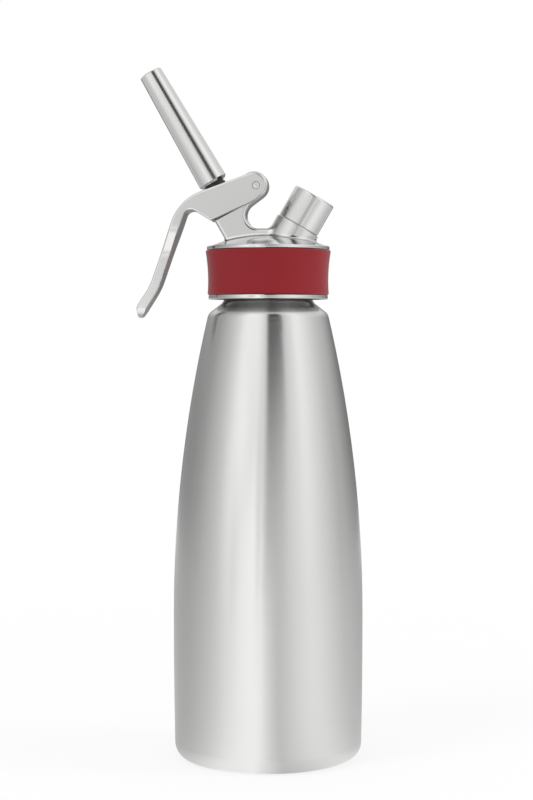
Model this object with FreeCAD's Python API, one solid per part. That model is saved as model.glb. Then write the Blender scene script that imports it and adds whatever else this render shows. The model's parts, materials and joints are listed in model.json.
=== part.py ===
import FreeCAD, Part
import math
import os

# Whipped cream dispenser: a steel pressure bottle with a screw-on head. The head carries a slanted
# dispensing valve with its nozzle, the lever that presses the valve open, and a slanted inlet for
# gas chargers under a cap. Millimetres, +Z up, origin at the centre of the base; the lever hangs
# on the -X side and the inlet leans to +X.

# Bottle
bottle_radius = 47.15
belly_height = 72.0
shoulder_radius = 30.3
shoulder_below_mouth = 26.6
lower_side_arc = 3000.0
base_corner = 8.0
standing_ring_width = 2.5
base_recess = 3.5
recess_slope_width = 2.5
bottle_wall = 1.2
shoulder_knuckle = 5.0
neck_radius = 22.0
neck_fillet = 4.0
neck_below_ring = 1.7

# Threaded ring on the bottle's neck
mouth_height = 246.0
neck_ring_height = 15.1
neck_ring_wall = 3.7
lip_reach = 1.4
lip_thickness = 1.5
ring_edge = 0.5

# Head casting
skirt_clearance = 0.3
rim_height = 2.3
rim_reach = 1.6
rim_edge = 0.6
skirt_wall = 2.2
flange_reach = 2.5
flange_height = 2.2
flange_edge = 0.8
dome_inset = 1.7
dome_height = 5.4
crown_thickness = 7.8
crown_recess = 3.5

# Grip band round the skirt
band_height = 22.1
band_top_thickness = 3.1
band_waist_thickness = 1.95
band_bottom_thickness = 2.1
band_edge = 0.4

# Head gasket
gasket_thickness = 3.0
gasket_inset = 0.5
gasket_bore_clearance = 0.1
tab_reach = 2.6
tab_width = 8.0
tab_thickness = 1.4

# Valve and inlet axes cross on the bottle's axis, a little below its mouth, and lean apart
axes_below_mouth = 6.7
axis_tilt = 30.0

# Valve tower with its pivot lug; across and along are measured from the valve's axis
casting_thickness = 14.0
casting_root = 12.0
tower_half_width = 8.9
tower_above_bush = 6.7
casting_edge = 1.6
lug_across_back = 1.0
lug_above_pivot = 1.0
lug_radius = 7.0
lug_root_across = 8.0
lug_root_radius = 1.8
throat_across = 11.7
throat_along = 28.7
throat_radius = 6.5
valve_bore_radius = 5.6

# Valve
stem_radius = 3.5
stem_bore_radius = 1.9
stem_grip_length = 7.5
running_clearance = 0.05
seat_along = 12.0
seal_thickness = 1.8
seal_radius = 5.2
foot_thickness = 1.8
bush_length = 19.5
port_chamber_radius = 4.4
port_chamber_depth = 4.5
port_radius = 1.1
stem_ring_rise = 12.0
ring_section_radius = 0.5
ring_groove_width = 1.3

# Collar that the lever presses, and the black ring above it
collar_thickness = 3.0
collar_radius = 7.0
collar_edge = 0.4
black_ring_radius = 5.5
black_ring_height = 7.1
nozzle_seal_thickness = 1.2
nozzle_seal_radius = 5.0

# Valve spring
spring_length = 11.7
spring_wire_radius = 0.6
spring_turns = 5.0
spring_side_clearance = 0.3

# Nozzle
nozzle_length = 64.0
nozzle_base_radius = 7.35
nozzle_tip_radius = 5.85
nozzle_tip_wall = 1.0
nozzle_base_wall = 1.6
nozzle_socket_floor = 2.5
nozzle_outlet_length = 10.0
nozzle_base_edge = 1.1
nozzle_tip_edge = 0.4

# Lever; its outline's circles are placed out from the pivot pin to -X and up or down from it
pivot_across = 18.0
pivot_below_collar = 1.2
pin_radius = 1.95
pin_recess = 0.15
pin_chamfer = 0.25
pin_dimple_radius = 0.75
pin_dimple_depth = 0.5
lever_side_clearance = 0.35
cheek_thickness = 2.65
handle_width = 15.0
handle_tip_corner = 5.5
handle_thickness = 4.8
lever_end_out = 1.3
lever_end_up = 0.4
lever_end_radius = 6.15
lever_bend_out = 19.2
lever_bend_down = 25.6
lever_bend_radius = 24.4
handle_flare_out = 84.0
handle_flare_down = 34.6
handle_flare_radius = 33.9
handle_curl_out = 53.5
handle_curl_down = 61.7
handle_curl_radius = 6.5
handle_tip_out = 58.4
handle_tip_down = 64.5
handle_tip_thickness = 2.2
inner_bend_out = 32.6
inner_bend_down = 15.6
inner_bend_radius = 3.7
cheek_corner_out = 22.5
cheek_corner_down = 16.0
cheek_corner_radius = 1.2
cheek_belly_out = 12.6
cheek_belly_up = 8.9
cheek_belly_radius = 20.0
fork_drop = 21.5
waist_length = 12.0
waist_radius = 20.0
lever_edge = 0.8
web_thickness = 2.2
slot_back = 12.5
opening_clearance = 0.4
press_gap = 0.2
nose_radius = 2.0
ledge_end = 7.6

# Inlet; along is measured on the inlet's axis
boss_radius = 11.5
boss_top = 29.9
boss_edge = 0.5
web_blend = 5.0
foot_blend = 1.5
stub_edge = 0.4
inlet_bore_radius = 5.6
inlet_bottom = 13.0
inlet_thread_radius = 8.8
charger_socket_radius = 5.2
charger_socket_depth = 5.5
charger_seal_thickness = 1.5
inlet_ring_section = 0.7
piercing_pin_radius = 1.5
piercing_pin_height = 4.2
piercing_pin_bore = 0.5
piercing_pin_shank = 5.0
check_disc_radius = 4.2
check_disc_thickness = 1.3
check_stem_radius = 1.1
check_stem_length = 6.0

# Cap over the inlet
cap_radius = 10.85
cap_gap = 0.15
cap_height = 16.9
cap_top_wall = 2.0
cap_thread_clearance = 0.3
cap_rim_edge = 0.4
cap_edge = 1.0
liner_thickness = 1.8

# Places worked out from the sizes above
ring_bottom_height = mouth_height - neck_ring_height
neck_root_height = ring_bottom_height - neck_below_ring
shoulder_height = mouth_height - shoulder_below_mouth
axes_height = mouth_height - axes_below_mouth
neck_thread_radius = neck_radius + neck_ring_wall
mouth_radius = neck_radius - lip_reach
gasket_outer_radius = neck_thread_radius - gasket_inset
gasket_inner_radius = mouth_radius + gasket_bore_clearance
skirt_bore = neck_thread_radius + skirt_clearance
groove_radius = skirt_bore + skirt_wall
rim_radius = groove_radius + rim_reach
flange_radius = groove_radius + flange_reach
dome_radius = flange_radius - dome_inset
band_top_radius = groove_radius + band_top_thickness
band_waist_radius = groove_radius + band_waist_thickness
band_bottom_radius = groove_radius + band_bottom_thickness
gasket_top_height = mouth_height + gasket_thickness
ceiling_height = gasket_top_height + crown_recess
dome_top_height = ceiling_height + crown_thickness
flange_top_height = dome_top_height - dome_height
band_top_height = flange_top_height - flange_height
band_bottom_height = band_top_height - band_height
rim_bottom_height = band_bottom_height - rim_height
casting_half = casting_thickness / 2
slot_half = casting_half + lever_side_clearance
lever_half = slot_half + cheek_thickness
bush_bore_radius = stem_radius + running_clearance
bush_top = seat_along + bush_length
tower_top = bush_top + tower_above_bush
collar_bottom = bush_top + spring_length
collar_top = collar_bottom + collar_thickness
pivot_along = collar_bottom - pivot_below_collar
lug_across = pivot_across - lug_across_back
lug_along = pivot_along + lug_above_pivot
nozzle_base = collar_top + black_ring_height + nozzle_seal_thickness
stem_top = nozzle_base + stem_grip_length
stem_ring_along = seat_along + stem_ring_rise
foot_bottom = seat_along - seal_thickness - foot_thickness
cap_bottom = boss_top + cap_gap
cap_top = cap_bottom + cap_height
cap_underside = cap_top - cap_top_wall
inlet_top = cap_underside - liner_thickness - cap_gap
TILT = math.radians(axis_tilt)
NUDGE = 1.0
SHORTEST_LINE = 0.001


# Geometry helpers

def touch(stop, heading):
    """Where a line of this heading touches the circle of a stop (x, z, radius)."""
    x, z, radius = stop
    return FreeCAD.Vector(x + radius * math.sin(heading), 0, z - radius * math.cos(heading))


def heading_between(start, end):
    """Heading of the line that leaves one stop and meets the next, both as tangents."""
    dx = end[0] - start[0]
    dz = end[1] - start[1]
    lean = (end[2] - start[2]) / math.hypot(dx, dz)
    return math.atan2(dz, dx) - math.asin(max(-1.0, min(1.0, lean)))


def settled(point, stop):
    """The corner itself where the point falls all but on it, otherwise the point."""
    corner = FreeCAD.Vector(stop[0], 0, stop[1])
    return corner if point.distanceToPoint(corner) < SHORTEST_LINE else point


def outline(stops, closed=True):
    """A wire in the XZ plane that runs round circles like a belt.

    A stop is (x, z) for a corner or (x, z, radius) for a circle. The wire turns left round a
    circle of positive radius and right round one of negative radius.
    """
    circles = [stop if len(stop) == 3 else (stop[0], stop[1], 0.0) for stop in stops]
    count = len(circles)
    legs = count if closed else count - 1
    headings = [heading_between(circles[i], circles[(i + 1) % count]) for i in range(legs)]
    edges = []
    pen = touch(circles[0], headings[0])
    for i in range(legs):
        reached = circles[(i + 1) % count]
        arrival = touch(reached, headings[i])
        if pen.distanceToPoint(arrival) > SHORTEST_LINE:
            edges.append(Part.LineSegment(pen, arrival).toShape())
            pen = arrival
        last_leg = not closed and i == legs - 1
        if reached[2] == 0 or last_leg:
            continue
        turn = headings[(i + 1) % legs] - headings[i]
        if reached[2] > 0:
            turn = turn % (2 * math.pi)
        else:
            turn = -(-turn % (2 * math.pi))
        middle = touch(reached, headings[i] + turn / 2)
        finish = settled(touch(reached, headings[i] + turn), circles[(i + 2) % count])
        edges.append(Part.Arc(pen, middle, finish).toShape())
        pen = finish
    return Part.Wire(edges)


def soften(corners):
    """Stops for an outline whose corners are (x, z) or (x, z, rounding)."""
    stops = []
    count = len(corners)
    for i, corner in enumerate(corners):
        if len(corner) == 2:
            stops.append(corner)
            continue
        x, z, rounding = corner
        if rounding == 0:
            stops.append((x, z))
            continue
        back = FreeCAD.Vector(corners[i - 1][0] - x, 0, corners[i - 1][1] - z).normalize()
        ahead = corners[(i + 1) % count]
        forth = FreeCAD.Vector(ahead[0] - x, 0, ahead[1] - z).normalize()
        inward = (back + forth).normalize()
        half_angle = back.getAngle(forth) / 2
        centre = FreeCAD.Vector(x, 0, z) + inward * (rounding / math.sin(half_angle))
        turns_left = back.z * forth.x - back.x * forth.z > 0
        stops.append((centre.x, centre.z, rounding if turns_left else -rounding))
    return stops


def turned(corners):
    """A solid of revolution about Z from corners (radius, height) or (radius, height, rounding)."""
    wire = outline(soften(corners))
    return Part.Face(wire).revolve(FreeCAD.Vector(0, 0, 0), FreeCAD.Vector(0, 0, 1), 360)


def bevelled(corners):
    """The corners with each (radius, height, bevel) cut off straight by its bevel."""
    cut = []
    count = len(corners)
    for i, corner in enumerate(corners):
        here = FreeCAD.Vector(corner[0], 0, corner[1])
        if len(corner) == 2:
            cut.append(corner)
            continue
        for beside in (corners[i - 1], corners[(i + 1) % count]):
            away = (FreeCAD.Vector(beside[0], 0, beside[1]) - here).normalize()
            point = here + away * corner[2]
            cut.append((point.x, point.z))
    return cut


def ring(inner, outer, bottom, top):
    return turned([(inner, bottom), (outer, bottom), (outer, top), (inner, top)])


def rod(radius, bottom, top):
    return Part.makeCylinder(radius, top - bottom, FreeCAD.Vector(0, 0, bottom))


def o_ring(middle_radius, section_radius, height):
    return Part.makeTorus(middle_radius, section_radius, FreeCAD.Vector(0, 0, height))


def plate(wire, half_thickness):
    """A flat piece from a wire in the XZ plane, centred on Y = 0."""
    face = Part.Face(wire)
    face.translate(FreeCAD.Vector(0, -half_thickness, 0))
    return face.extrude(FreeCAD.Vector(0, 2 * half_thickness, 0))


def edges_on_face(solid, y):
    """Edges of a plate that lie in the plane of one of its two flat faces."""
    flat = [e for e in solid.Edges if abs(e.BoundBox.YMin - y) < 1e-6]
    return [e for e in flat if abs(e.BoundBox.YMax - y) < 1e-6]


def leaned(solid, degrees):
    """Moves a solid from its own upright axis to an axis that leans away from the bottle's."""
    placed = solid.copy()
    placed.rotate(FreeCAD.Vector(0, 0, 0), FreeCAD.Vector(0, 1, 0), degrees)
    placed.translate(FreeCAD.Vector(0, 0, axes_height))
    return placed


def on_valve(solid):
    return leaned(solid, -axis_tilt)


def on_inlet(solid):
    return leaned(solid, axis_tilt)


def valve_point(across, along):
    """X and Z of a place given across and along the valve's axis."""
    x = across * math.cos(TILT) - along * math.sin(TILT)
    z = axes_height + across * math.sin(TILT) + along * math.cos(TILT)
    return x, z


def inlet_point(across, along):
    """X and Z of a place given across and along the inlet's axis."""
    x = across * math.cos(TILT) + along * math.sin(TILT)
    z = axes_height - across * math.sin(TILT) + along * math.cos(TILT)
    return x, z


# Bottle

def bottle_side(inset):
    """Stops of the bottle's side from base corner to neck, set in from the outer surface."""
    shoulder_inset = bottle_radius - shoulder_radius
    shoulder_rise = shoulder_height - belly_height
    shoulder_arc = (shoulder_rise ** 2 + shoulder_inset ** 2) / (2 * shoulder_inset)
    lower_x = bottle_radius - lower_side_arc
    shoulder_x = bottle_radius - shoulder_arc
    corner_rise = belly_height - base_corner
    corner_reach = lower_side_arc - base_corner
    corner_x = lower_x + math.sqrt(corner_reach ** 2 - corner_rise ** 2)
    slope = math.asin(shoulder_rise / shoulder_arc)
    knuckle_reach = shoulder_arc - shoulder_knuckle
    knuckle_x = shoulder_x + knuckle_reach * math.cos(slope)
    knuckle_z = belly_height + knuckle_reach * math.sin(slope)
    return [
        (corner_x, base_corner, base_corner - inset),
        (lower_x, belly_height, lower_side_arc - inset),
        (shoulder_x, belly_height, shoulder_arc - inset),
        (knuckle_x, knuckle_z, shoulder_knuckle - inset),
        (neck_radius + neck_fillet, neck_root_height, -neck_fillet - inset),
    ]


def bottle_shell():
    neck_end = mouth_height - lip_thickness
    outer = bottle_side(0)
    inner = bottle_side(bottle_wall)
    ring_outer = outer[0][0]
    ring_inner = ring_outer - standing_ring_width
    recess_radius = ring_inner - recess_slope_width
    floor = base_recess + bottle_wall
    outer_stops = [(0, base_recess), (recess_radius, base_recess), (ring_inner, 0)]
    outer_stops += outer + [(neck_radius, neck_end)]
    inner_stops = [(0, floor), (recess_radius + bottle_wall, floor)]
    inner_stops += [(ring_inner + bottle_wall, bottle_wall)] + inner
    inner_stops += [(neck_radius - bottle_wall, neck_end)]
    top = FreeCAD.Vector(neck_radius, 0, neck_end)
    outside = outline(outer_stops, closed=False)
    inside = outline(inner_stops, closed=False)
    lip = Part.LineSegment(top, top - FreeCAD.Vector(bottle_wall, 0, 0)).toShape()
    centre_low = FreeCAD.Vector(0, 0, base_recess)
    centre = Part.LineSegment(centre_low, FreeCAD.Vector(0, 0, floor)).toShape()
    wire = Part.Wire(Part.__sortEdges__(outside.Edges + inside.Edges + [lip, centre]))
    return Part.Face(wire).revolve(FreeCAD.Vector(0, 0, 0), FreeCAD.Vector(0, 0, 1), 360)


def neck_ring():
    return turned(bevelled([
        (neck_radius, ring_bottom_height),
        (neck_thread_radius, ring_bottom_height, ring_edge),
        (neck_thread_radius, mouth_height, ring_edge),
        (mouth_radius, mouth_height, ring_edge),
        (mouth_radius, mouth_height - lip_thickness),
        (neck_radius, mouth_height - lip_thickness),
    ]))


# Head

def head_body():
    """Rim, skirt, flange and dome as one solid of revolution, still full inside."""
    dome_arc = (dome_radius ** 2 + dome_height ** 2) / (2 * dome_height)
    crown = outline([
        (0, rim_bottom_height),
        (rim_radius - rim_edge, rim_bottom_height + rim_edge, rim_edge),
        (rim_radius - rim_edge, band_bottom_height - rim_edge, rim_edge),
        (groove_radius, band_bottom_height),
        (groove_radius, band_top_height),
        (flange_radius - flange_edge, band_top_height + flange_edge, flange_edge),
        (flange_radius - flange_edge, flange_top_height - flange_edge, flange_edge),
        (dome_radius, flange_top_height),
        (0, dome_top_height - dome_arc, dome_arc),
        (0, dome_top_height),
    ])
    return Part.Face(crown).revolve(FreeCAD.Vector(0, 0, 0), FreeCAD.Vector(0, 0, 1), 360)


def head_cavity():
    """Room for the bottle's neck and gasket, with the recess up to the ceiling."""
    return turned([
        (0, rim_bottom_height - NUDGE),
        (skirt_bore, rim_bottom_height - NUDGE),
        (skirt_bore, gasket_top_height),
        (mouth_radius, gasket_top_height),
        (mouth_radius, ceiling_height, NUDGE),
        (0, ceiling_height),
    ])


def tower_plate():
    """Valve tower, pivot lug and the web that runs over to the inlet boss, as one flat plate."""
    throat = valve_point(throat_across, throat_along)
    saddle_height = throat[1] - throat_radius
    boss_inside = inlet_point(0, boss_top - boss_radius / 2)
    stops = [
        valve_point(-tower_half_width, casting_root),
        inlet_point(0, casting_root),
        (boss_inside[0], saddle_height),
        throat + (-throat_radius,),
        valve_point(lug_across, lug_along) + (lug_radius,),
        valve_point(lug_root_across, tower_top + lug_root_radius) + (-lug_root_radius,),
        valve_point(-tower_half_width, tower_top),
    ]
    solid = plate(outline(stops), casting_half)
    rims = edges_on_face(solid, -casting_half) + edges_on_face(solid, casting_half)
    return solid.makeFillet(casting_edge, rims)


def inlet_boss():
    boss = rod(boss_radius, casting_root, boss_top)
    top_rim = [e for e in boss.Edges if abs(e.BoundBox.ZMin - boss_top) < 1e-6]
    return on_inlet(boss.makeFillet(boss_edge, top_rim))


def surfaces_beside(solid, edge):
    return [face.Surface for face in solid.ancestorsOfType(edge, Part.Face)]


def boss_edges(web):
    """Edges where the plate's two flat faces run into the boss."""
    found = []
    for edge in web.Edges:
        beside = surfaces_beside(web, edge)
        rounds = [s for s in beside if isinstance(s, Part.Cylinder)]
        flats = [s for s in beside if isinstance(s, Part.Plane) and abs(s.Axis.y) > 0.999]
        if flats and any(abs(s.Radius - boss_radius) < 1e-6 for s in rounds):
            found.append(edge)
    return found


def foot_edges(casting):
    """Edges where the tower, the web and the boss stand on the dome."""
    found = []
    for edge in casting.Edges:
        on_dome = [isinstance(s, Part.Sphere) for s in surfaces_beside(casting, edge)]
        above_flange = edge.BoundBox.ZMin > flange_top_height + SHORTEST_LINE
        if len(on_dome) == 2 and on_dome.count(True) == 1 and above_flange:
            found.append(edge)
    return found


def head_casting():
    web = tower_plate().fuse(inlet_boss())
    web = web.makeFillet(web_blend, boss_edges(web))
    casting = head_body().fuse(web)
    casting = casting.makeFillet(foot_blend, foot_edges(casting))
    casting = casting.cut(head_cavity())
    casting = casting.cut(on_valve(rod(valve_bore_radius, 0, tower_top + NUDGE)))
    casting = casting.cut(on_inlet(rod(inlet_bore_radius, 0, boss_top + NUDGE)))
    casting = casting.cut(pin_rod(pin_radius, casting_half + NUDGE))
    return casting.removeSplitter()


def grip_band():
    waist_height = (band_bottom_height + band_top_height) / 2
    bottom = FreeCAD.Vector(band_bottom_radius, 0, band_bottom_height + band_edge)
    waist = FreeCAD.Vector(band_waist_radius, 0, waist_height)
    top = FreeCAD.Vector(band_top_radius, 0, band_top_height - band_edge)
    corners = [
        FreeCAD.Vector(band_top_radius - band_edge, 0, band_top_height),
        FreeCAD.Vector(groove_radius, 0, band_top_height),
        FreeCAD.Vector(groove_radius, 0, band_bottom_height),
        FreeCAD.Vector(band_bottom_radius - band_edge, 0, band_bottom_height),
        bottom,
    ]
    hollow_side = Part.Arc(bottom, waist, top).toShape()
    rest = Part.makePolygon([top] + corners)
    wire = Part.Wire([hollow_side] + rest.Edges)
    return Part.Face(wire).revolve(FreeCAD.Vector(0, 0, 0), FreeCAD.Vector(0, 0, 1), 360)


def head_gasket():
    flat_ring = ring(gasket_inner_radius, gasket_outer_radius, mouth_height, gasket_top_height)
    tabs = Part.makeBox(
        tab_width, 2 * gasket_outer_radius, tab_thickness,
        FreeCAD.Vector(-tab_width / 2, -gasket_outer_radius, gasket_top_height - tab_thickness),
    )
    between_tabs = rod(gasket_inner_radius - tab_reach, mouth_height, gasket_top_height + NUDGE)
    inside_ring = rod(gasket_inner_radius, mouth_height, gasket_top_height)
    return flat_ring.fuse(tabs.common(inside_ring).cut(between_tabs)).removeSplitter()


# Pivot

def pin_rod(radius, half_length):
    x, z = valve_point(pivot_across, pivot_along)
    start = FreeCAD.Vector(x, -half_length, z)
    return Part.makeCylinder(radius, 2 * half_length, start, FreeCAD.Vector(0, 1, 0))


def pivot_pin():
    half_length = lever_half - pin_recess
    pin = pin_rod(pin_radius, half_length)
    rims = [e for e in pin.Edges if abs(abs(e.CenterOfMass.y) - half_length) < 1e-6]
    pin = pin.makeChamfer(pin_chamfer, rims)
    x, z = valve_point(pivot_across, pivot_along)
    for side in (-1, 1):
        mouth = FreeCAD.Vector(x, side * half_length, z)
        inward = FreeCAD.Vector(0, -side, 0)
        pin = pin.cut(Part.makeCone(pin_dimple_radius, 0, pin_dimple_depth, mouth, inward))
    return pin


# Valve, upright on its own axis until placed

def valve_bush():
    return on_valve(turned([
        (port_chamber_radius, seat_along),
        (valve_bore_radius, seat_along),
        (valve_bore_radius, bush_top),
        (bush_bore_radius, bush_top),
        (bush_bore_radius, seat_along + port_chamber_depth),
        (port_chamber_radius, seat_along + port_chamber_depth),
    ]))


def valve_stem():
    port_along = seat_along + port_chamber_depth / 2
    bore_bottom = port_along - 1.5 * port_radius
    stem = rod(stem_radius, foot_bottom, stem_top)
    stem = stem.fuse(rod(seal_radius, foot_bottom, foot_bottom + foot_thickness))
    stem = stem.cut(rod(stem_bore_radius, bore_bottom, stem_top + NUDGE))
    for direction in (FreeCAD.Vector(1, 0, 0), FreeCAD.Vector(0, 1, 0)):
        start = FreeCAD.Vector(0, 0, port_along) - direction * (2 * stem_radius)
        stem = stem.cut(Part.makeCylinder(port_radius, 4 * stem_radius, start, direction))
    groove_half = ring_groove_width / 2
    groove_floor = stem_radius - 2 * ring_section_radius
    groove = ring(
        groove_floor, stem_radius + NUDGE,
        stem_ring_along - groove_half, stem_ring_along + groove_half,
    )
    return on_valve(stem.cut(groove))


def stem_o_ring():
    middle_radius = stem_radius - ring_section_radius
    return on_valve(o_ring(middle_radius, ring_section_radius, stem_ring_along))


def valve_seal():
    return on_valve(ring(stem_radius, seal_radius, seat_along - seal_thickness, seat_along))


def valve_collar():
    return on_valve(turned(bevelled([
        (stem_radius, collar_bottom),
        (collar_radius, collar_bottom, collar_edge),
        (collar_radius, collar_top, collar_edge),
        (stem_radius, collar_top),
    ])))


def black_ring():
    top = nozzle_base - nozzle_seal_thickness
    return on_valve(ring(stem_radius, black_ring_radius, collar_top, top))


def valve_spring():
    coil_radius = valve_bore_radius - spring_side_clearance - spring_wire_radius
    bottom = bush_top + spring_wire_radius
    height = collar_bottom - spring_wire_radius - bottom
    helix = Part.makeHelix(height / spring_turns, height, coil_radius)
    inner = coil_radius - spring_wire_radius
    outer = coil_radius + spring_wire_radius
    section = Part.makePolygon([
        FreeCAD.Vector(inner, 0, -spring_wire_radius),
        FreeCAD.Vector(outer, 0, -spring_wire_radius),
        FreeCAD.Vector(outer, 0, spring_wire_radius),
        FreeCAD.Vector(inner, 0, spring_wire_radius),
        FreeCAD.Vector(inner, 0, -spring_wire_radius),
    ])
    coil = Part.Wire(helix.Edges).makePipeShell([section], True, True)
    coil.translate(FreeCAD.Vector(0, 0, bottom))
    return on_valve(coil)


def nozzle_tube():
    tip = nozzle_base + nozzle_length
    floor = stem_top + nozzle_socket_floor
    socket_radius = stem_radius + running_clearance
    outlet_radius = nozzle_tip_radius - nozzle_tip_wall
    return on_valve(turned([
        (socket_radius, nozzle_base),
        (nozzle_base_radius - nozzle_base_edge, nozzle_base),
        (nozzle_base_radius, nozzle_base + nozzle_base_edge),
        (nozzle_tip_radius, tip - nozzle_tip_edge),
        (nozzle_tip_radius - nozzle_tip_edge, tip),
        (outlet_radius, tip),
        (outlet_radius, tip - nozzle_outlet_length),
        (nozzle_base_radius - nozzle_base_wall, floor),
        (socket_radius, stem_top + running_clearance),
    ]))


def nozzle_seal():
    bottom = nozzle_base - nozzle_seal_thickness
    return on_valve(ring(stem_radius + running_clearance, nozzle_seal_radius, bottom, nozzle_base))


# Lever

def lever_stops():
    """Side outline of the lever: pivot end, bend, handle, flared tip and back along the inside."""
    pivot_x, pivot_z = valve_point(pivot_across, pivot_along)

    def from_pivot(x, z, radius):
        return pivot_x + x, pivot_z + z, radius

    return [
        from_pivot(-lever_end_out, lever_end_up, lever_end_radius),
        from_pivot(-lever_bend_out, -lever_bend_down, lever_bend_radius),
        from_pivot(-handle_flare_out, -handle_flare_down, -handle_flare_radius),
        from_pivot(-handle_curl_out, -handle_curl_down, handle_curl_radius),
        from_pivot(-handle_tip_out, -handle_tip_down, handle_tip_thickness / 2),
        from_pivot(-handle_flare_out, -handle_flare_down, handle_flare_radius + handle_thickness),
        from_pivot(-inner_bend_out, -inner_bend_down, -inner_bend_radius),
        from_pivot(-cheek_corner_out, -cheek_corner_down, cheek_corner_radius),
        from_pivot(-cheek_belly_out, cheek_belly_up, cheek_belly_radius),
    ]


def lever_width(profile, tip_corner):
    """The lever's front outline as a tool, wide at the fork and narrow at the handle."""
    box = profile.BoundBox
    handle_half = handle_width / 2
    shoulder = valve_point(pivot_across, pivot_along)[1] - fork_drop
    waist = shoulder - waist_length
    above = box.ZMax + NUDGE
    below = box.ZMin if tip_corner else box.ZMin - NUDGE
    front = outline(soften([
        (-handle_half, below, tip_corner),
        (handle_half, below, tip_corner),
        (handle_half, waist, waist_radius),
        (lever_half, shoulder, waist_radius),
        (lever_half, above),
        (-lever_half, above),
        (-lever_half, shoulder, waist_radius),
        (-handle_half, waist, waist_radius),
    ]))
    width = Part.Face(front).extrude(FreeCAD.Vector(0, box.XLength + 2 * NUDGE, 0))
    width.rotate(FreeCAD.Vector(0, 0, 0), FreeCAD.Vector(0, 0, 1), 90)
    width.translate(FreeCAD.Vector(box.XMax + NUDGE, 0, 0))
    return width


def lever_blank():
    """The lever as one solid bar with eased edges, before it is forked."""
    profile = plate(outline(lever_stops()), lever_half)
    bar = profile.common(lever_width(profile, 0))
    bar = bar.makeFillet(lever_edge, sharp_edges(bar))
    return bar.common(lever_width(profile, handle_tip_corner))


def sharp_edges(solid):
    """Edges where two faces meet at a clear angle."""
    sharp = []
    for edge in solid.Edges:
        faces = solid.ancestorsOfType(edge, Part.Face)
        if len(faces) != 2:
            continue
        middle = edge.valueAt((edge.FirstParameter + edge.LastParameter) / 2)
        normals = [face.normalAt(*face.Surface.parameter(middle)) for face in faces]
        if normals[0].getAngle(normals[1]) > math.radians(30):
            sharp.append(edge)
    return sharp


def fork_slot():
    """Room between the cheeks, under the web, for the tower, the lug, the spring and the collar."""
    stops = lever_stops()
    heading = heading_between(stops[0], stops[1])
    along = FreeCAD.Vector(math.cos(heading), 0, math.sin(heading))
    inward = FreeCAD.Vector(-math.sin(heading), 0, math.cos(heading))
    under_web = touch(stops[0], heading) + inward * web_thickness
    across_now = under_web.x * math.cos(TILT) + (under_web.z - axes_height) * math.sin(TILT)
    across_step = along.x * math.cos(TILT) + along.z * math.sin(TILT)
    back_top = under_web + along * ((-slot_back - across_now) / across_step)
    down_valve = FreeCAD.Vector(math.sin(TILT), 0, -math.cos(TILT))
    reach = 2 * pivot_along
    front_top = back_top - along * reach
    corners = [back_top, back_top + down_valve * reach, front_top + down_valve * reach, front_top]
    return plate(Part.makePolygon(corners + [back_top]), slot_half)


def stem_opening():
    """Slot through the web for the stem and its black ring, open towards the lug."""
    half = black_ring_radius + opening_clearance
    low = collar_bottom
    high = nozzle_base + nozzle_base_radius
    round_end = rod(half, low, high)
    reach = pivot_across
    straight = Part.makeBox(reach, 2 * half, high - low, FreeCAD.Vector(0, -half, low))
    lug_room = Part.makeBox(
        reach, 2 * slot_half, high - low, FreeCAD.Vector(ledge_end, -slot_half, low),
    )
    return on_valve(round_end.fuse([straight, lug_room]))


def press_noses():
    """Two rounded noses on the ledges beside the stem, which press the collar."""
    nose_along = collar_top + press_gap + nose_radius
    inner = black_ring_radius + opening_clearance
    x, z = valve_point(0, nose_along)
    noses = []
    for side in (-1, 1):
        start = FreeCAD.Vector(x, side * inner, z)
        outward = FreeCAD.Vector(0, side, 0)
        length = slot_half + NUDGE - inner
        noses.append(Part.makeCylinder(nose_radius, length, start, outward))
    return noses


def lever():
    forked = lever_blank().cut([fork_slot(), stem_opening()])
    forked = forked.fuse(press_noses())
    return forked.cut(pin_rod(pin_radius + running_clearance, lever_half + NUDGE))


# Inlet, upright on its own axis until placed

def inlet_stub():
    socket_floor = inlet_top - charger_socket_depth
    stub = turned(bevelled([
        (piercing_pin_radius, inlet_bottom),
        (inlet_bore_radius, inlet_bottom, stub_edge),
        (inlet_bore_radius, boss_top),
        (inlet_thread_radius, boss_top),
        (inlet_thread_radius, inlet_top, stub_edge),
        (charger_socket_radius, inlet_top, stub_edge),
        (charger_socket_radius, socket_floor),
        (piercing_pin_radius, socket_floor),
    ]))
    groove = ring(
        inlet_bore_radius, inlet_bore_radius + 2 * inlet_ring_section,
        boss_top - NUDGE, boss_top + 2 * inlet_ring_section,
    )
    return on_inlet(stub.cut(groove.cut(rod(inlet_bore_radius, inlet_bottom, inlet_top))))


def inlet_o_ring():
    middle_radius = inlet_bore_radius + inlet_ring_section
    return on_inlet(o_ring(middle_radius, inlet_ring_section, boss_top + inlet_ring_section))


def piercing_pin():
    socket_floor = inlet_top - charger_socket_depth
    shoulder = socket_floor + piercing_pin_height - piercing_pin_radius
    pin = rod(piercing_pin_radius, socket_floor - piercing_pin_shank, shoulder)
    point = Part.makeCone(
        piercing_pin_radius, piercing_pin_bore + running_clearance, piercing_pin_radius,
        FreeCAD.Vector(0, 0, shoulder),
    )
    bore = rod(piercing_pin_bore, inlet_bottom, inlet_top)
    return on_inlet(pin.fuse(point).cut(bore).removeSplitter())


def charger_seal():
    floor = inlet_top - charger_socket_depth
    inner = piercing_pin_radius + 2 * running_clearance
    return on_inlet(ring(inner, charger_socket_radius, floor, floor + charger_seal_thickness))


def check_valve():
    disc = rod(check_disc_radius, inlet_bottom - check_disc_thickness, inlet_bottom)
    stem = rod(check_stem_radius, inlet_bottom, inlet_bottom + check_stem_length)
    return on_inlet(disc.fuse(stem))


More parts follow.
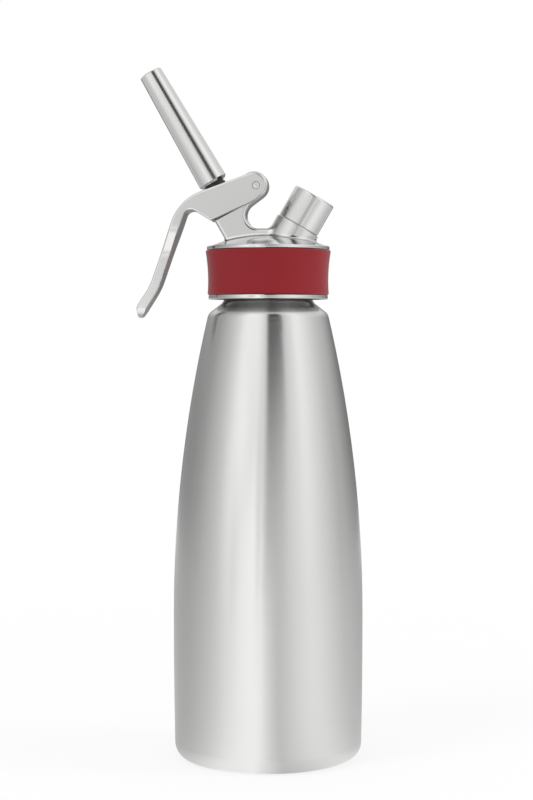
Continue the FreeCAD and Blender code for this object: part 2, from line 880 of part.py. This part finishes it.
def cap_shell():
    bore_radius = inlet_thread_radius + cap_thread_clearance
    return on_inlet(turned([
        (bore_radius, cap_bottom),
        (cap_radius - cap_rim_edge, cap_bottom),
        (cap_radius, cap_bottom + cap_rim_edge),
        (cap_radius, cap_top, cap_edge),
        (0, cap_top),
        (0, cap_underside),
        (bore_radius, cap_underside),
    ]))


def cap_liner():
    return on_inlet(rod(inlet_thread_radius, cap_underside - liner_thickness, cap_underside))


pieces = [
    bottle_shell, neck_ring,
    head_casting, grip_band, head_gasket, pivot_pin, valve_bush, valve_spring,
    inlet_stub, inlet_o_ring, piercing_pin, charger_seal, check_valve,
    lever,
    valve_stem, valve_seal, stem_o_ring, valve_collar, black_ring,
    nozzle_tube, nozzle_seal,
    cap_shell, cap_liner,
]

os.makedirs("parts", exist_ok=True)
for piece in pieces:
    piece().exportStep("parts/" + piece.__name__ + ".step")
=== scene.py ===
import json
import math
import bmesh
import bpy
from mathutils import Matrix, Vector


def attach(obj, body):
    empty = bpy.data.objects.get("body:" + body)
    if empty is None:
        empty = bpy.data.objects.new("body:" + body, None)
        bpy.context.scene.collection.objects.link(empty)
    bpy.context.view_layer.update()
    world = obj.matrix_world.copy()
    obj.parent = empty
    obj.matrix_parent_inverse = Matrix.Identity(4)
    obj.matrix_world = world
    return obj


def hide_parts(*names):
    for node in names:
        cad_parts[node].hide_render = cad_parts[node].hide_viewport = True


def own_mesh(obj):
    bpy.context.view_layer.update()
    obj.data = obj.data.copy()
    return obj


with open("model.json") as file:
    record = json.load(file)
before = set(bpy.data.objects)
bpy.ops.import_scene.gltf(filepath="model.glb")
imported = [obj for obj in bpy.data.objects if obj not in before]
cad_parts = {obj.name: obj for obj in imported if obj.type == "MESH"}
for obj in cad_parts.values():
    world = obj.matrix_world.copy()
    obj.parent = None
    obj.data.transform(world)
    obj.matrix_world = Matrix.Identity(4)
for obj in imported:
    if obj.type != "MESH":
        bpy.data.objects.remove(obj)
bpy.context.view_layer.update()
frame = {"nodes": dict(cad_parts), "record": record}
nodes = frame["nodes"]
scene = bpy.context.scene
mm = 0.001
print("frame loaded:", len(nodes), "nodes")


# Camera: level, just below the bottle's neck, and shifted so that the foot comes into view. Its
# focal length, horizon and axis are in pixels of a picture of imageWidth by imageHeight.

cameraSettings = {
    "azimuth": 4.0, "distance": 957 * mm, "height": 213 * mm,
    "focalPixels": 1913, "imageWidth": 533, "imageHeight": 800, "sensor": 36.0,
    "horizonRow": 330.0, "axisColumn": 268.2, "nearest": 10 * mm,
}


def makeCamera(s):
    turn = math.radians(s["azimuth"])
    camera = bpy.data.objects.new("camera", bpy.data.cameras.new("camera"))
    scene.collection.objects.link(camera)
    side = (s["axisColumn"] - s["imageWidth"] / 2) / s["focalPixels"] * s["distance"]
    camera.location = (
        s["distance"] * math.sin(turn) - side * math.cos(turn),
        -s["distance"] * math.cos(turn) - side * math.sin(turn),
        s["height"],
    )
    camera.rotation_euler = (math.radians(90), 0, turn)
    camera.data.sensor_width = s["sensor"]
    camera.data.lens = s["focalPixels"] / s["imageHeight"] * s["sensor"]
    camera.data.shift_y = (s["horizonRow"] - s["imageHeight"] / 2) / s["imageHeight"]
    camera.data.clip_start = s["nearest"]
    scene.camera = camera


makeCamera(cameraSettings)
scene.view_settings.view_transform = "Standard"
print("camera set")


# Small helpers for node trees and meshes

def toLinear(hexColour):
    channels = [int(hexColour[i:i + 2], 16) / 255 for i in (1, 3, 5)]
    return tuple(c / 12.92 if c <= 0.04045 else ((c + 0.055) / 1.055) ** 2.4 for c in channels) + (1.0,)


def addNode(tree, kind, settings=None, inputs=None):
    node = tree.nodes.new(kind)
    for name, value in (settings or {}).items():
        setattr(node, name, value)
    for name, value in (inputs or {}).items():
        if isinstance(value, bpy.types.NodeSocket):
            tree.links.new(value, node.inputs[name])
        else:
            node.inputs[name].default_value = value
    return node


def newMaterial(name):
    material = bpy.data.materials.new(name)
    material.use_nodes = True
    material.node_tree.nodes.clear()
    return material, material.node_tree


def dress(piece, material):
    if not piece.material_slots:
        piece.data.materials.append(material)
    for place in piece.material_slots:
        place.material = material


# Studio: white sweep, two soft lamps, and a ring of softboxes and cards that only gloss sees

# Levels are light strengths and radii are in metres. Gloss sees the floor at glossNear, which fades
# to glossFar between bandedTo and plainFrom, mixed with the ring's bench levels by bandShare. Each
# band there is the mean of the levels at bandTurns, in degrees, so its edges are soft.
studioSettings = {
    "worldLevel": 0.85, "paper": "#f2f2f2",
    "glossNear": 1.0, "glossFar": 0.82, "bandShare": 0.7, "bandedTo": 0.75, "plainFrom": 1.2,
    "bandTurns": (-14, -10, -6, -2, 2),
    "glowNear": 0.8, "glowFar": 1.0, "glowNearRadius": 0.15, "glowFarRadius": 0.7,
    "radii": [0.02, 0.15, 0.5, 0.75, 1.2, 4.0],
}
lampSettings = {
    "keyLamp": {"place": (-1.1, -1.2, 1.5), "size": 0.9, "power": 12, "aim": (0, 0, 0.2)},
    "fillLamp": {"place": (1.6, -0.2, 0.6), "size": 0.6, "power": 10, "aim": (0, 0, 0.2)},
}

# Azimuth 0 is the side that the camera stands on, and azimuths grow to the right. Each stop is
# (azimuth in degrees, light level), and the ring blends from bench to above with its height in metres.
ringSettings = {
    "radius": 1.5,
    "rowStep": 0.05, "fineRows": 25, "farRows": [1.5, 2.0, 3.0],
    "blendFrom": 0.35, "blendTo": 0.90,
    "bench": [
        (-180, 0.20), (-165, 0.26), (-152, 0.34), (-127, 0.33), (-111, 0.36), (-98, 0.43),
        (-87, 0.53), (-76, 0.65), (-67, 0.76), (-57, 0.95), (-49, 1.13), (-40, 1.33),
        (-32, 1.50), (-24, 1.52), (-16, 1.54), (-5, 1.68), (-2.5, 1.25), (0, 0.58),
        (10, 0.64), (15, 0.72), (22, 0.84), (30, 0.98), (38, 1.08), (46, 1.15), (54, 1.2),
        (62, 1.12), (72, 0.98), (81, 0.88), (91, 0.74), (102, 0.60), (114, 0.56),
        (129, 0.42), (150, 0.26), (165, 0.22), (180, 0.20),
    ],
    "above": [
        (-180, 0.90), (-150, 0.92), (-127, 0.76), (-112, 0.56), (-98, 0.50), (-80, 0.66),
        (-63, 0.82), (-51, 1.02), (-40, 1.38), (-16, 1.30), (0, 1.0), (24, 0.50), (30, 0.70),
        (38, 0.86), (46, 1.0), (55, 1.28), (64, 1.28), (90, 1.02), (120, 0.86), (150, 0.85),
        (180, 0.90),
    ],
    # Each card: its left and right azimuths, its low and high edges, the rise of both edges for a
    # degree of azimuth, how many degrees its sides and how many metres its edges fade over, its level
    "cards": [
        (1.0, 32.0, 0.48, 9.0, 0.007, 3.0, 0.08, 0.04),  # black, the dark line on shoulder and nozzle
        (-44.0, -2.0, 0.55, 0.76, 0.014, 2.0, 0.04, 0.77),  # grey, the nozzle's flank
        (-64.0, -8.0, 0.30, 0.48, -0.012, 2.0, 0.04, 0.95),  # pale, the inlet cap's flank
        (-12.5, 1.5, 0.19, 0.48, 0.0, 2.0, 0.04, 0.84),  # grey, the flat sides of lever and head
        (-12.0, -5.5, -1.0, 0.24, 0.0, 2.0, 0.04, 0.95),  # pale, the waist of the lever
        (-3.0, 24.0, -1.0, 0.15, 0.0, 4.0, 0.10, 0.95),  # pale, fades the dark line near the foot
        (-177.5, -174.0, 1.12, 9.0, 0.0, 1.0, 0.06, 0.10),  # black strip on the dome's front
        (-181.0, -177.5, 1.12, 9.0, 0.0, 1.0, 0.06, 1.50),  # white strip beside it
    ],
}


def levelAt(azimuth, stops):
    for low, high in zip(stops, stops[1:]):
        if azimuth <= high[0]:
            return low[1] + (high[1] - low[1]) * (azimuth - low[0]) / (high[0] - low[0])
    return stops[-1][1]


def clamp(value):
    return max(0.0, min(1.0, value))


def cardShare(azimuth, z, card):
    left, right, low, high, rise, sideFade, edgeFade = card[:7]
    side = clamp((azimuth - left) / sideFade) * clamp((right - azimuth) / sideFade)
    height = z - rise * azimuth
    return side * clamp((height - low) / edgeFade) * clamp((high - height) / edgeFade)


def seenByLens(tree):
    light = addNode(tree, "ShaderNodeLightPath")
    return addNode(tree, "ShaderNodeMath", {"operation": "MAXIMUM"}, {
        0: light.outputs["Is Camera Ray"], 1: light.outputs["Is Transmission Ray"],
    }).outputs[0]


def makeWorld(s):
    world = bpy.data.worlds.new("studio")
    world.use_nodes = True
    tree = world.node_tree
    tree.nodes.clear()
    white = (1, 1, 1, 1)
    plain = addNode(tree, "ShaderNodeBackground", None, {"Color": white, "Strength": s["worldLevel"]})
    bright = addNode(tree, "ShaderNodeBackground", None, {"Color": white, "Strength": 1.0})
    mix = addNode(tree, "ShaderNodeMixShader", None, {
        0: seenByLens(tree), 1: plain.outputs[0], 2: bright.outputs[0],
    })
    addNode(tree, "ShaderNodeOutputWorld", None, {"Surface": mix.outputs[0]})
    scene.world = world


# A band of faces all round, a degree wide each, whose "level" attribute holds the light at each point
def stageBand(name, rings, point, level):
    azimuths = range(-180, 181)
    count = len(rings)
    points = [point(math.radians(azimuth), ring) for azimuth in azimuths for ring in rings]
    corners = [i * count + j for i in range(len(azimuths) - 1) for j in range(count - 1)]
    mesh = bpy.data.meshes.new(name)
    mesh.from_pydata(points, [], [(k, k + 1, k + count + 1, k + count) for k in corners])
    levels = [level(azimuth, ring) for azimuth in azimuths for ring in rings]
    mesh.attributes.new("level", "FLOAT", "POINT").data.foreach_set("value", levels)
    band = bpy.data.objects.new(name, mesh)
    scene.collection.objects.link(band)
    return band


def makeFloor(s, bench):
    def point(angle, radius):
        return radius * math.sin(angle), -radius * math.cos(angle), 0.0

    def level(azimuth, radius):
        near = clamp((s["plainFrom"] - radius) / (s["plainFrom"] - s["bandedTo"]))
        plain = s["glossFar"] + (s["glossNear"] - s["glossFar"]) * near
        band = sum(levelAt(azimuth + turn, bench) for turn in s["bandTurns"]) / len(s["bandTurns"])
        return plain + (band - plain) * s["bandShare"] * near

    floor = stageBand("floor", s["radii"], point, level)
    material, tree = newMaterial("studioPaper")
    place = addNode(tree, "ShaderNodeTexCoord").outputs["Object"]
    reach = addNode(tree, "ShaderNodeVectorMath", {"operation": "LENGTH"}, {0: place})
    share = addNode(tree, "ShaderNodeMapRange", None, {
        "Value": reach.outputs["Value"],
        "From Min": s["glowNearRadius"], "From Max": s["glowFarRadius"],
        "To Min": s["glowNear"], "To Max": s["glowFar"],
    })
    glossy = addNode(tree, "ShaderNodeLightPath").outputs["Is Glossy Ray"]
    looked = addNode(tree, "ShaderNodeMath", {"operation": "MAXIMUM"}, {
        0: seenByLens(tree), 1: glossy,
    })
    glowing = addNode(tree, "ShaderNodeMath", {"operation": "MULTIPLY"}, {
        0: looked.outputs[0], 1: share.outputs[0],
    })
    bands = addNode(tree, "ShaderNodeAttribute", {"attribute_name": "level"}).outputs["Fac"]
    strength = addNode(tree, "ShaderNodeMapRange", None, {
        "Value": glossy, "To Min": 1.0, "To Max": bands,
    })
    glow = addNode(tree, "ShaderNodeEmission", None, {"Strength": strength.outputs[0]})
    matte = addNode(tree, "ShaderNodeBsdfDiffuse", None, {"Color": toLinear(s["paper"])})
    mix = addNode(tree, "ShaderNodeMixShader", None, {
        0: glowing.outputs[0], 1: matte.outputs[0], 2: glow.outputs[0],
    })
    addNode(tree, "ShaderNodeOutputMaterial", None, {"Surface": mix.outputs[0]})
    dress(floor, material)


def makeRing(s):
    def point(angle, z):
        return s["radius"] * math.sin(angle), -s["radius"] * math.cos(angle), z

    def level(azimuth, z):
        blend = clamp((z - s["blendFrom"]) / (s["blendTo"] - s["blendFrom"]))
        low, high = levelAt(azimuth, s["bench"]), levelAt(azimuth, s["above"])
        value = low + (high - low) * blend
        for card in s["cards"]:
            value += (card[-1] - value) * cardShare(azimuth, z, card)
        return value

    rows = [s["rowStep"] * i for i in range(s["fineRows"])] + s["farRows"]
    ring = stageBand("lightRing", rows, point, level)
    material, tree = newMaterial("softboxesAndCards")
    light = addNode(tree, "ShaderNodeAttribute", {"attribute_name": "level"})
    glow = addNode(tree, "ShaderNodeEmission", None, {"Strength": light.outputs["Fac"]})
    addNode(tree, "ShaderNodeOutputMaterial", None, {"Surface": glow.outputs[0]})
    dress(ring, material)
    ring.visible_camera = False
    ring.visible_diffuse = False
    ring.visible_transmission = False
    ring.visible_shadow = False


def makeLamp(name, s):
    lamp = bpy.data.objects.new(name, bpy.data.lights.new(name, "AREA"))
    lamp.data.shape = "DISK"
    lamp.data.size = s["size"]
    lamp.data.energy = s["power"]
    lamp.location = s["place"]
    lamp.rotation_euler = (Vector(s["aim"]) - Vector(s["place"])).to_track_quat("-Z", "Y").to_euler()
    lamp.visible_glossy = False
    scene.collection.objects.link(lamp)


makeWorld(studioSettings)
makeFloor(studioSettings, ringSettings["bench"])
makeRing(ringSettings)
for name, settings in lampSettings.items():
    makeLamp(name, settings)
print("studio set")


# Brushed stainless steel, the bottle: deep drawn, then brushed round its axis while it turned, so
# highlights stretch up and down the wall and edges of light stay soft. The neck, under the head's
# rim, is given a darker colour than the wall: painted shade. Real scratches lie 0.05 mm apart and
# would not show, so they are drawn 0.4 mm apart, about the size of a pixel.

bottleSteelSettings = {
    # The neck colour is painted shade: the bottle's neck under the head's rim, from neckFrom to neckTo
    "wall": "#d3d3d2", "neck": "#b4b4b3", "neckFrom": 222.5, "neckTo": 224.5,
    "scratchSpacing": 0.4, "scratchLength": 70.0, "scratchDetail": 3.0,
    "noiseLow": 0.3, "noiseHigh": 0.7,
    "smooth": 0.21, "rough": 0.25, "stretch": 0.85, "acrossScratches": 0.25,
    "bump": 0.02, "depth": 0.1,
}


def makeBottleSteel(s):
    material, tree = newMaterial("brushedStainlessSteel")
    place = addNode(tree, "ShaderNodeTexCoord").outputs["Object"]
    along, apart = 1 / (s["scratchLength"] * mm), 1 / (s["scratchSpacing"] * mm)
    drawn = addNode(tree, "ShaderNodeMapping", None, {"Vector": place, "Scale": (along, along, apart)})
    scratches = addNode(tree, "ShaderNodeTexNoise", None, {
        "Vector": drawn.outputs[0], "Scale": 1.0, "Detail": s["scratchDetail"],
    }).outputs[0]
    tone = addNode(tree, "ShaderNodeMapRange", None, {
        "Value": scratches, "From Min": s["noiseLow"], "From Max": s["noiseHigh"],
        "To Min": s["smooth"], "To Max": s["rough"],
    })
    bump = addNode(tree, "ShaderNodeBump", None, {
        "Height": scratches, "Strength": s["bump"], "Distance": s["depth"] * mm,
    })
    around = addNode(tree, "ShaderNodeTangent", {"direction_type": "RADIAL", "axis": "Z"})
    height = addNode(tree, "ShaderNodeSeparateXYZ", None, {"Vector": place}).outputs["Z"]
    # Painted shade: the neck under the head's rim is coloured darker than the wall
    neckShadeShare = addNode(tree, "ShaderNodeMapRange", None, {
        "Value": height, "From Min": s["neckFrom"] * mm, "From Max": s["neckTo"] * mm,
    })
    # A Mix node's colours are its inputs 6 and 7 and its output 2
    colour = addNode(tree, "ShaderNodeMix", {"data_type": "RGBA"}, {
        "Factor": neckShadeShare.outputs[0], 6: toLinear(s["wall"]), 7: toLinear(s["neck"]),
    })
    shader = addNode(tree, "ShaderNodeBsdfPrincipled", None, {
        "Base Color": colour.outputs[2], "Metallic": 1.0, "Roughness": tone.outputs[0],
        "Anisotropic": s["stretch"], "Anisotropic Rotation": s["acrossScratches"],
        "Normal": bump.outputs[0], "Tangent": around.outputs[0],
    })
    addNode(tree, "ShaderNodeOutputMaterial", None, {"Surface": shader.outputs[0]})
    return material


# The other steels differ in how sharply they reflect. Their grain is the unevenness that blasting,
# a lathe tool or a buff leaves, really 0.1 mm and drawn 0.65 mm across so that it shows.

steelSettings = {
    # Cast stainless steel, ground flat and satin finished: soft but whole reflections
    "satin_steel": {"name": "satinStainlessSteel", "colour": "#d3d3d2", "roughness": 0.16},
    # Stainless bar, turned on a lathe: a shade sharper than the casting
    "turned_steel": {"name": "turnedStainlessSteel", "colour": "#d3d3d2", "roughness": 0.14},
    # Stainless tube and bar, buffed: nearly a mirror, with crisp light and dark lines
    "polished_steel": {"name": "polishedStainlessSteel", "colour": "#d8d8d7", "roughness": 0.07},
    # Stainless tube, drawn and brushed along its length: whole but softer reflections
    "drawn_tube": {"name": "drawnStainlessTube", "colour": "#d8d8d7", "roughness": 0.2},
    # Hard drawn spring wire: darker and bare from the die
    "spring_steel": {"name": "drawnSpringSteel", "colour": "#c0c0c0", "roughness": 0.15},
}
steelGrain = {"size": 0.65, "detail": 2.0, "spread": 0.03, "bump": 0.01, "depth": 0.05}


def makeSteel(s, grain):
    material, tree = newMaterial(s["name"])
    place = addNode(tree, "ShaderNodeTexCoord").outputs["Object"]
    pits = addNode(tree, "ShaderNodeTexNoise", None, {
        "Vector": place, "Scale": 1 / (grain["size"] * mm), "Detail": grain["detail"],
    }).outputs[0]
    tone = addNode(tree, "ShaderNodeMapRange", None, {
        "Value": pits,
        "To Min": s["roughness"] - grain["spread"], "To Max": s["roughness"] + grain["spread"],
    })
    bump = addNode(tree, "ShaderNodeBump", None, {
        "Height": pits, "Strength": grain["bump"], "Distance": grain["depth"] * mm,
    })
    shader = addNode(tree, "ShaderNodeBsdfPrincipled", None, {
        "Base Color": toLinear(s["colour"]), "Metallic": 1.0, "Roughness": tone.outputs[0],
        "Normal": bump.outputs[0],
    })
    addNode(tree, "ShaderNodeOutputMaterial", None, {"Surface": shader.outputs[0]})
    return material


# Rubbers and plastic come from a mould or a lathe with a fine matt skin, so they show no clear
# reflection. The skin's grain is really 0.1 mm and is drawn 1.1 mm across so that it shows.

softSettings = {
    # Moulded silicone, spark-eroded mould: matt, deep red, with a faint dusty sheen at its edges
    "red_silicone": {
        "name": "mouldedRedSilicone", "colour": "#81161e",
        "roughness": 0.5, "gloss": 0.2, "sheen": 0.2,
    },
    # Moulded silicone, plain grey: gaskets
    "grey_silicone": {
        "name": "mouldedGreySilicone", "colour": "#9c9c9e",
        "roughness": 0.5, "gloss": 0.5, "sheen": 0.0,
    },
    # Moulded nitrile rubber: small seals, dark and half matt
    "black_rubber": {
        "name": "mouldedNitrileRubber", "colour": "#222222",
        "roughness": 0.5, "gloss": 0.5, "sheen": 0.0,
    },
    # Turned acetal: dark and slightly waxy
    "black_plastic": {
        "name": "turnedBlackAcetal", "colour": "#161616",
        "roughness": 0.35, "gloss": 0.5, "sheen": 0.0,
    },
}
softSkin = {"size": 1.1, "detail": 2.0, "bump": 0.05, "depth": 0.1, "sheenSpread": 0.4}


def makeSoft(s, skin):
    material, tree = newMaterial(s["name"])
    place = addNode(tree, "ShaderNodeTexCoord").outputs["Object"]
    grain = addNode(tree, "ShaderNodeTexNoise", None, {
        "Vector": place, "Scale": 1 / (skin["size"] * mm), "Detail": skin["detail"],
    })
    bump = addNode(tree, "ShaderNodeBump", None, {
        "Height": grain.outputs[0], "Strength": skin["bump"], "Distance": skin["depth"] * mm,
    })
    shader = addNode(tree, "ShaderNodeBsdfPrincipled", None, {
        "Base Color": toLinear(s["colour"]), "Roughness": s["roughness"],
        "Specular IOR Level": s["gloss"], "Normal": bump.outputs[0],
        "Sheen Weight": s["sheen"], "Sheen Roughness": skin["sheenSpread"],
    })
    addNode(tree, "ShaderNodeOutputMaterial", None, {"Surface": shader.outputs[0]})
    return material


finishes = {"brushed_bottle": makeBottleSteel(bottleSteelSettings)}
finishes.update({slot: makeSteel(settings, steelGrain) for slot, settings in steelSettings.items()})
finishes.update({slot: makeSoft(settings, softSkin) for slot, settings in softSettings.items()})
slotOf = {part["node"]: part["material_slot"] for part in frame["record"]["subparts"]}
# The nozzle shares its slot with the polished pieces and is finished as drawn tube
finishOf = dict(slotOf, nozzle_tube="drawn_tube")
for name, piece in nodes.items():
    dress(piece, finishes[finishOf[name]])
print("materials set:", len(finishes))


# Helices: one tree lays a thread's ridge on what comes in, the other winds a round wire. A ridge
# thins to fadedTo of its size over fadedLength of its path at each end, and sharpAngle is in degrees.

ridgeSizes = ("Radius", "Base", "Length", "Turns", "Ridge Height", "Root Width", "Crest Width")
wireSizes = ("Radius", "Base", "Length", "Turns", "Wire Radius")
helixSettings = {"fadedLength": 0.06, "fadedTo": 0.05, "wireSides": 12, "sharpAngle": 35}
bodies = frame["record"]["behaviour"]["bodies"]
bodyOf = {name: body for body, names in bodies.items() for name in names}


# The tree's inputs, its helical path, and the identifiers that a modifier is set by
def startHelix(name, sizes):
    tree = bpy.data.node_groups.new(name, "GeometryNodeTree")
    kinds = {"Geometry": "Geometry", "Steps": "Int", "Material": "Material"}
    kinds.update({size: "Float" for size in sizes})
    identifiers = {}
    for label, kind in kinds.items():
        socket = tree.interface.new_socket(label, in_out="INPUT", socket_type="NodeSocket" + kind)
        identifiers[label] = socket.identifier
    tree.interface.new_socket("Geometry", in_out="OUTPUT", socket_type="NodeSocketGeometry")
    given = addNode(tree, "NodeGroupInput").outputs
    spiral = addNode(tree, "GeometryNodeCurveSpiral", None, {
        "Resolution": given["Steps"], "Rotations": given["Turns"], "Start Radius": given["Radius"],
        "End Radius": given["Radius"], "Height": given["Length"],
    })
    path = addNode(tree, "GeometryNodeSetCurveNormal", {"mode": "Z_UP"}, {"Curve": spiral.outputs[0]})
    return tree, identifiers, given, path


def finishHelix(tree, given, path, section):
    swept = addNode(tree, "GeometryNodeCurveToMesh", None, {
        "Curve": path.outputs[0], "Profile Curve": section.outputs[0], "Fill Caps": True,
    })
    rise = addNode(tree, "ShaderNodeCombineXYZ", None, {"Z": given["Base"]})
    raised = addNode(tree, "GeometryNodeTransform", None, {
        "Geometry": swept.outputs[0], "Translation": rise.outputs[0],
    })
    joined = addNode(tree, "GeometryNodeJoinGeometry")
    tree.links.new(given["Geometry"], joined.inputs[0])
    tree.links.new(raised.outputs[0], joined.inputs[0])
    real = addNode(tree, "GeometryNodeRealizeInstances", None, {"Geometry": joined.outputs[0]})
    dressed = addNode(tree, "GeometryNodeSetMaterial", None, {
        "Geometry": real.outputs[0], "Material": given["Material"],
    })
    addNode(tree, "NodeGroupOutput", None, {"Geometry": dressed.outputs[0]})


# A trapezoid ridge that stands outwards from the root, so its centre lies half its height out. The
# ping-pong gives the share of the path to the nearer end, where the ridge thins out.
def makeRidgeTree(s):
    tree, identifiers, given, path = startHelix("threadRidge", ridgeSizes)
    along = addNode(tree, "GeometryNodeSplineParameter").outputs["Factor"]
    fromEnd = addNode(tree, "ShaderNodeMath", {"operation": "PINGPONG"}, {0: along, 1: 0.5})
    fade = addNode(tree, "ShaderNodeMapRange", None, {
        "Value": fromEnd.outputs[0], "From Max": s["fadedLength"], "To Min": s["fadedTo"],
    })
    path = addNode(tree, "GeometryNodeSetCurveRadius", None, {
        "Curve": path.outputs[0], "Radius": fade.outputs[0],
    })
    trapezoid = addNode(tree, "GeometryNodeCurvePrimitiveQuadrilateral", {"mode": "TRAPEZOID"}, {
        "Height": given["Ridge Height"], "Bottom Width": given["Root Width"],
        "Top Width": given["Crest Width"], "Offset": 0.0,
    })
    outward = addNode(tree, "ShaderNodeMath", {"operation": "MULTIPLY"}, {
        0: given["Ridge Height"], 1: -0.5,
    })
    shift = addNode(tree, "ShaderNodeCombineXYZ", None, {"X": outward.outputs[0]})
    section = addNode(tree, "GeometryNodeTransform", None, {
        "Geometry": trapezoid.outputs[0], "Translation": shift.outputs[0],
        "Rotation": (0, 0, math.radians(90)),
    })
    finishHelix(tree, given, path, section)
    return tree, identifiers


def makeWireTree(s):
    tree, identifiers, given, path = startHelix("wireCoil", wireSizes)
    section = addNode(tree, "GeometryNodeCurvePrimitiveCircle", None, {
        "Resolution": s["wireSides"], "Radius": given["Wire Radius"],
    })
    finishHelix(tree, given, path, section)
    return tree, identifiers


# Turned pieces are drawn upright from the bottle's axis and then leant over by their tilt
def placeOf(s):
    return Matrix.Translation((0, 0, s["base"] * mm)) @ Matrix.Rotation(math.radians(s["tilt"]), 4, "Y")


# Runs the helix on the mesh, puts it in its place and lets it stand for the node
def wind(name, node, mesh, place, helix, sizes):
    tree, identifiers = helix
    piece = bpy.data.objects.new(name, mesh)
    scene.collection.objects.link(piece)
    modifier = piece.modifiers.new(name, "NODES")
    modifier.node_group = tree
    for label, value in sizes.items():
        modifier[identifiers[label]] = value
    modifier[identifiers["Material"]] = finishes[finishOf[node]]
    depsgraph = bpy.context.evaluated_depsgraph_get()
    result = bpy.data.meshes.new_from_object(piece.evaluated_get(depsgraph))
    piece.modifiers.remove(modifier)
    piece.data = result
    result.transform(place)
    result.polygons.foreach_set("use_smooth", [True] * len(result.polygons))
    result.set_sharp_from_angle(angle=math.radians(helixSettings["sharpAngle"]))
    dress(piece, finishes[finishOf[node]])
    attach(piece, bodyOf[node])
    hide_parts(node)
    return piece


# Threads: a copy of the turned piece, cut down to the root between its reliefs, with the ridge on it.
# Sizes are in mm along and across the piece's own axis. The inlet's and the valve's axes lean by
# lean degrees to either side, and cross on the bottle's axis at the height of crossing.

lean = 30
crossing = 239.3
threadSettings = {
    "neckThread": {
        "node": "neck_ring", "tilt": 0, "base": 0.0, "from": 233.0, "to": 245.2, "steps": 72,
        "root": 24.9, "crest": 25.7, "pitch": 3.0, "rootHalf": 1.0, "crestHalf": 0.35,
    },
    "inletThread": {
        "node": "inlet_stub", "tilt": lean, "base": crossing, "from": 31.6, "to": 42.4, "steps": 48,
        "root": 8.2, "crest": 8.8, "pitch": 1.25, "rootHalf": 0.5, "crestHalf": 0.12,
    },
    "stemThread": {
        "node": "valve_stem", "tilt": -lean, "base": crossing, "from": 55.2, "to": 61.6, "steps": 32,
        "root": 3.1, "crest": 3.5, "pitch": 0.8, "rootHalf": 0.35, "crestHalf": 0.08,
    },
}
# Relief is a share of the thread's depth, and the others are tolerances in mm: merge joins doubles,
# plane and rim take in what lies on a cut, and skin is how far under the crest a wall may lie
cutSettings = {"relief": 0.6, "merge": 0.002, "plane": 0.001, "rim": 0.01, "skin": 0.1}


def cutThread(name, s, cut, helix):
    place = placeOf(s)
    source = nodes[s["node"]]
    mesh = source.data.copy()
    mesh.name = name
    mesh.transform(place.inverted() @ source.matrix_world)
    relief = (s["crest"] - s["root"]) * cut["relief"]
    low, high = (s["from"] + relief) * mm, (s["to"] - relief) * mm
    shape = bmesh.new()
    shape.from_mesh(mesh)
    bmesh.ops.remove_doubles(shape, verts=shape.verts, dist=cut["merge"] * mm)
    for height in (s["from"] * mm, low, high, s["to"] * mm):
        bmesh.ops.bisect_plane(
            shape, geom=shape.verts[:] + shape.edges[:] + shape.faces[:],
            dist=cut["plane"] * mm, plane_co=(0, 0, height), plane_no=(0, 0, 1),
        )
    for vertex in shape.verts:
        reach = math.hypot(vertex.co.x, vertex.co.y)
        within = low - cut["rim"] * mm <= vertex.co.z <= high + cut["rim"] * mm
        if within and reach > (s["crest"] - cut["skin"]) * mm:
            vertex.co.x *= s["root"] * mm / reach
            vertex.co.y *= s["root"] * mm / reach
    shape.to_mesh(mesh)
    shape.free()
    wind(name, s["node"], mesh, place, helix, {
        "Radius": s["root"] * mm, "Base": low, "Length": high - low, "Steps": s["steps"],
        "Turns": (high - low) / (s["pitch"] * mm), "Ridge Height": (s["crest"] - s["root"]) * mm,
        "Root Width": 2 * s["rootHalf"] * mm, "Crest Width": 2 * s["crestHalf"] * mm,
    })


ridgeTree = makeRidgeTree(helixSettings)
for name, settings in threadSettings.items():
    cutThread(name, settings, cutSettings, ridgeTree)
print("threads cut:", len(threadSettings))


# Valve spring: a round wire between bush and collar, which on the real valve flattens while the valve
# goes down

springSettings = {
    "node": "valve_spring", "tilt": -lean, "base": crossing, "from": 31.5, "to": 43.2,
    "coil": 4.7, "wire": 0.6, "turns": 5.0, "steps": 40, "travel": 4.6,
}


def makeSpring(s, helix):
    place = placeOf(s)
    length = s["to"] - s["from"]
    spring = wind("springCoil", s["node"], bpy.data.meshes.new("springCoil"), place, helix, {
        "Radius": s["coil"] * mm, "Base": (s["from"] + s["wire"]) * mm,
        "Length": (length - 2 * s["wire"]) * mm, "Turns": s["turns"],
        "Wire Radius": s["wire"] * mm, "Steps": s["steps"],
    })
    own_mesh(spring)


makeSpring(springSettings, makeWireTree(helixSettings))
print("spring wound")
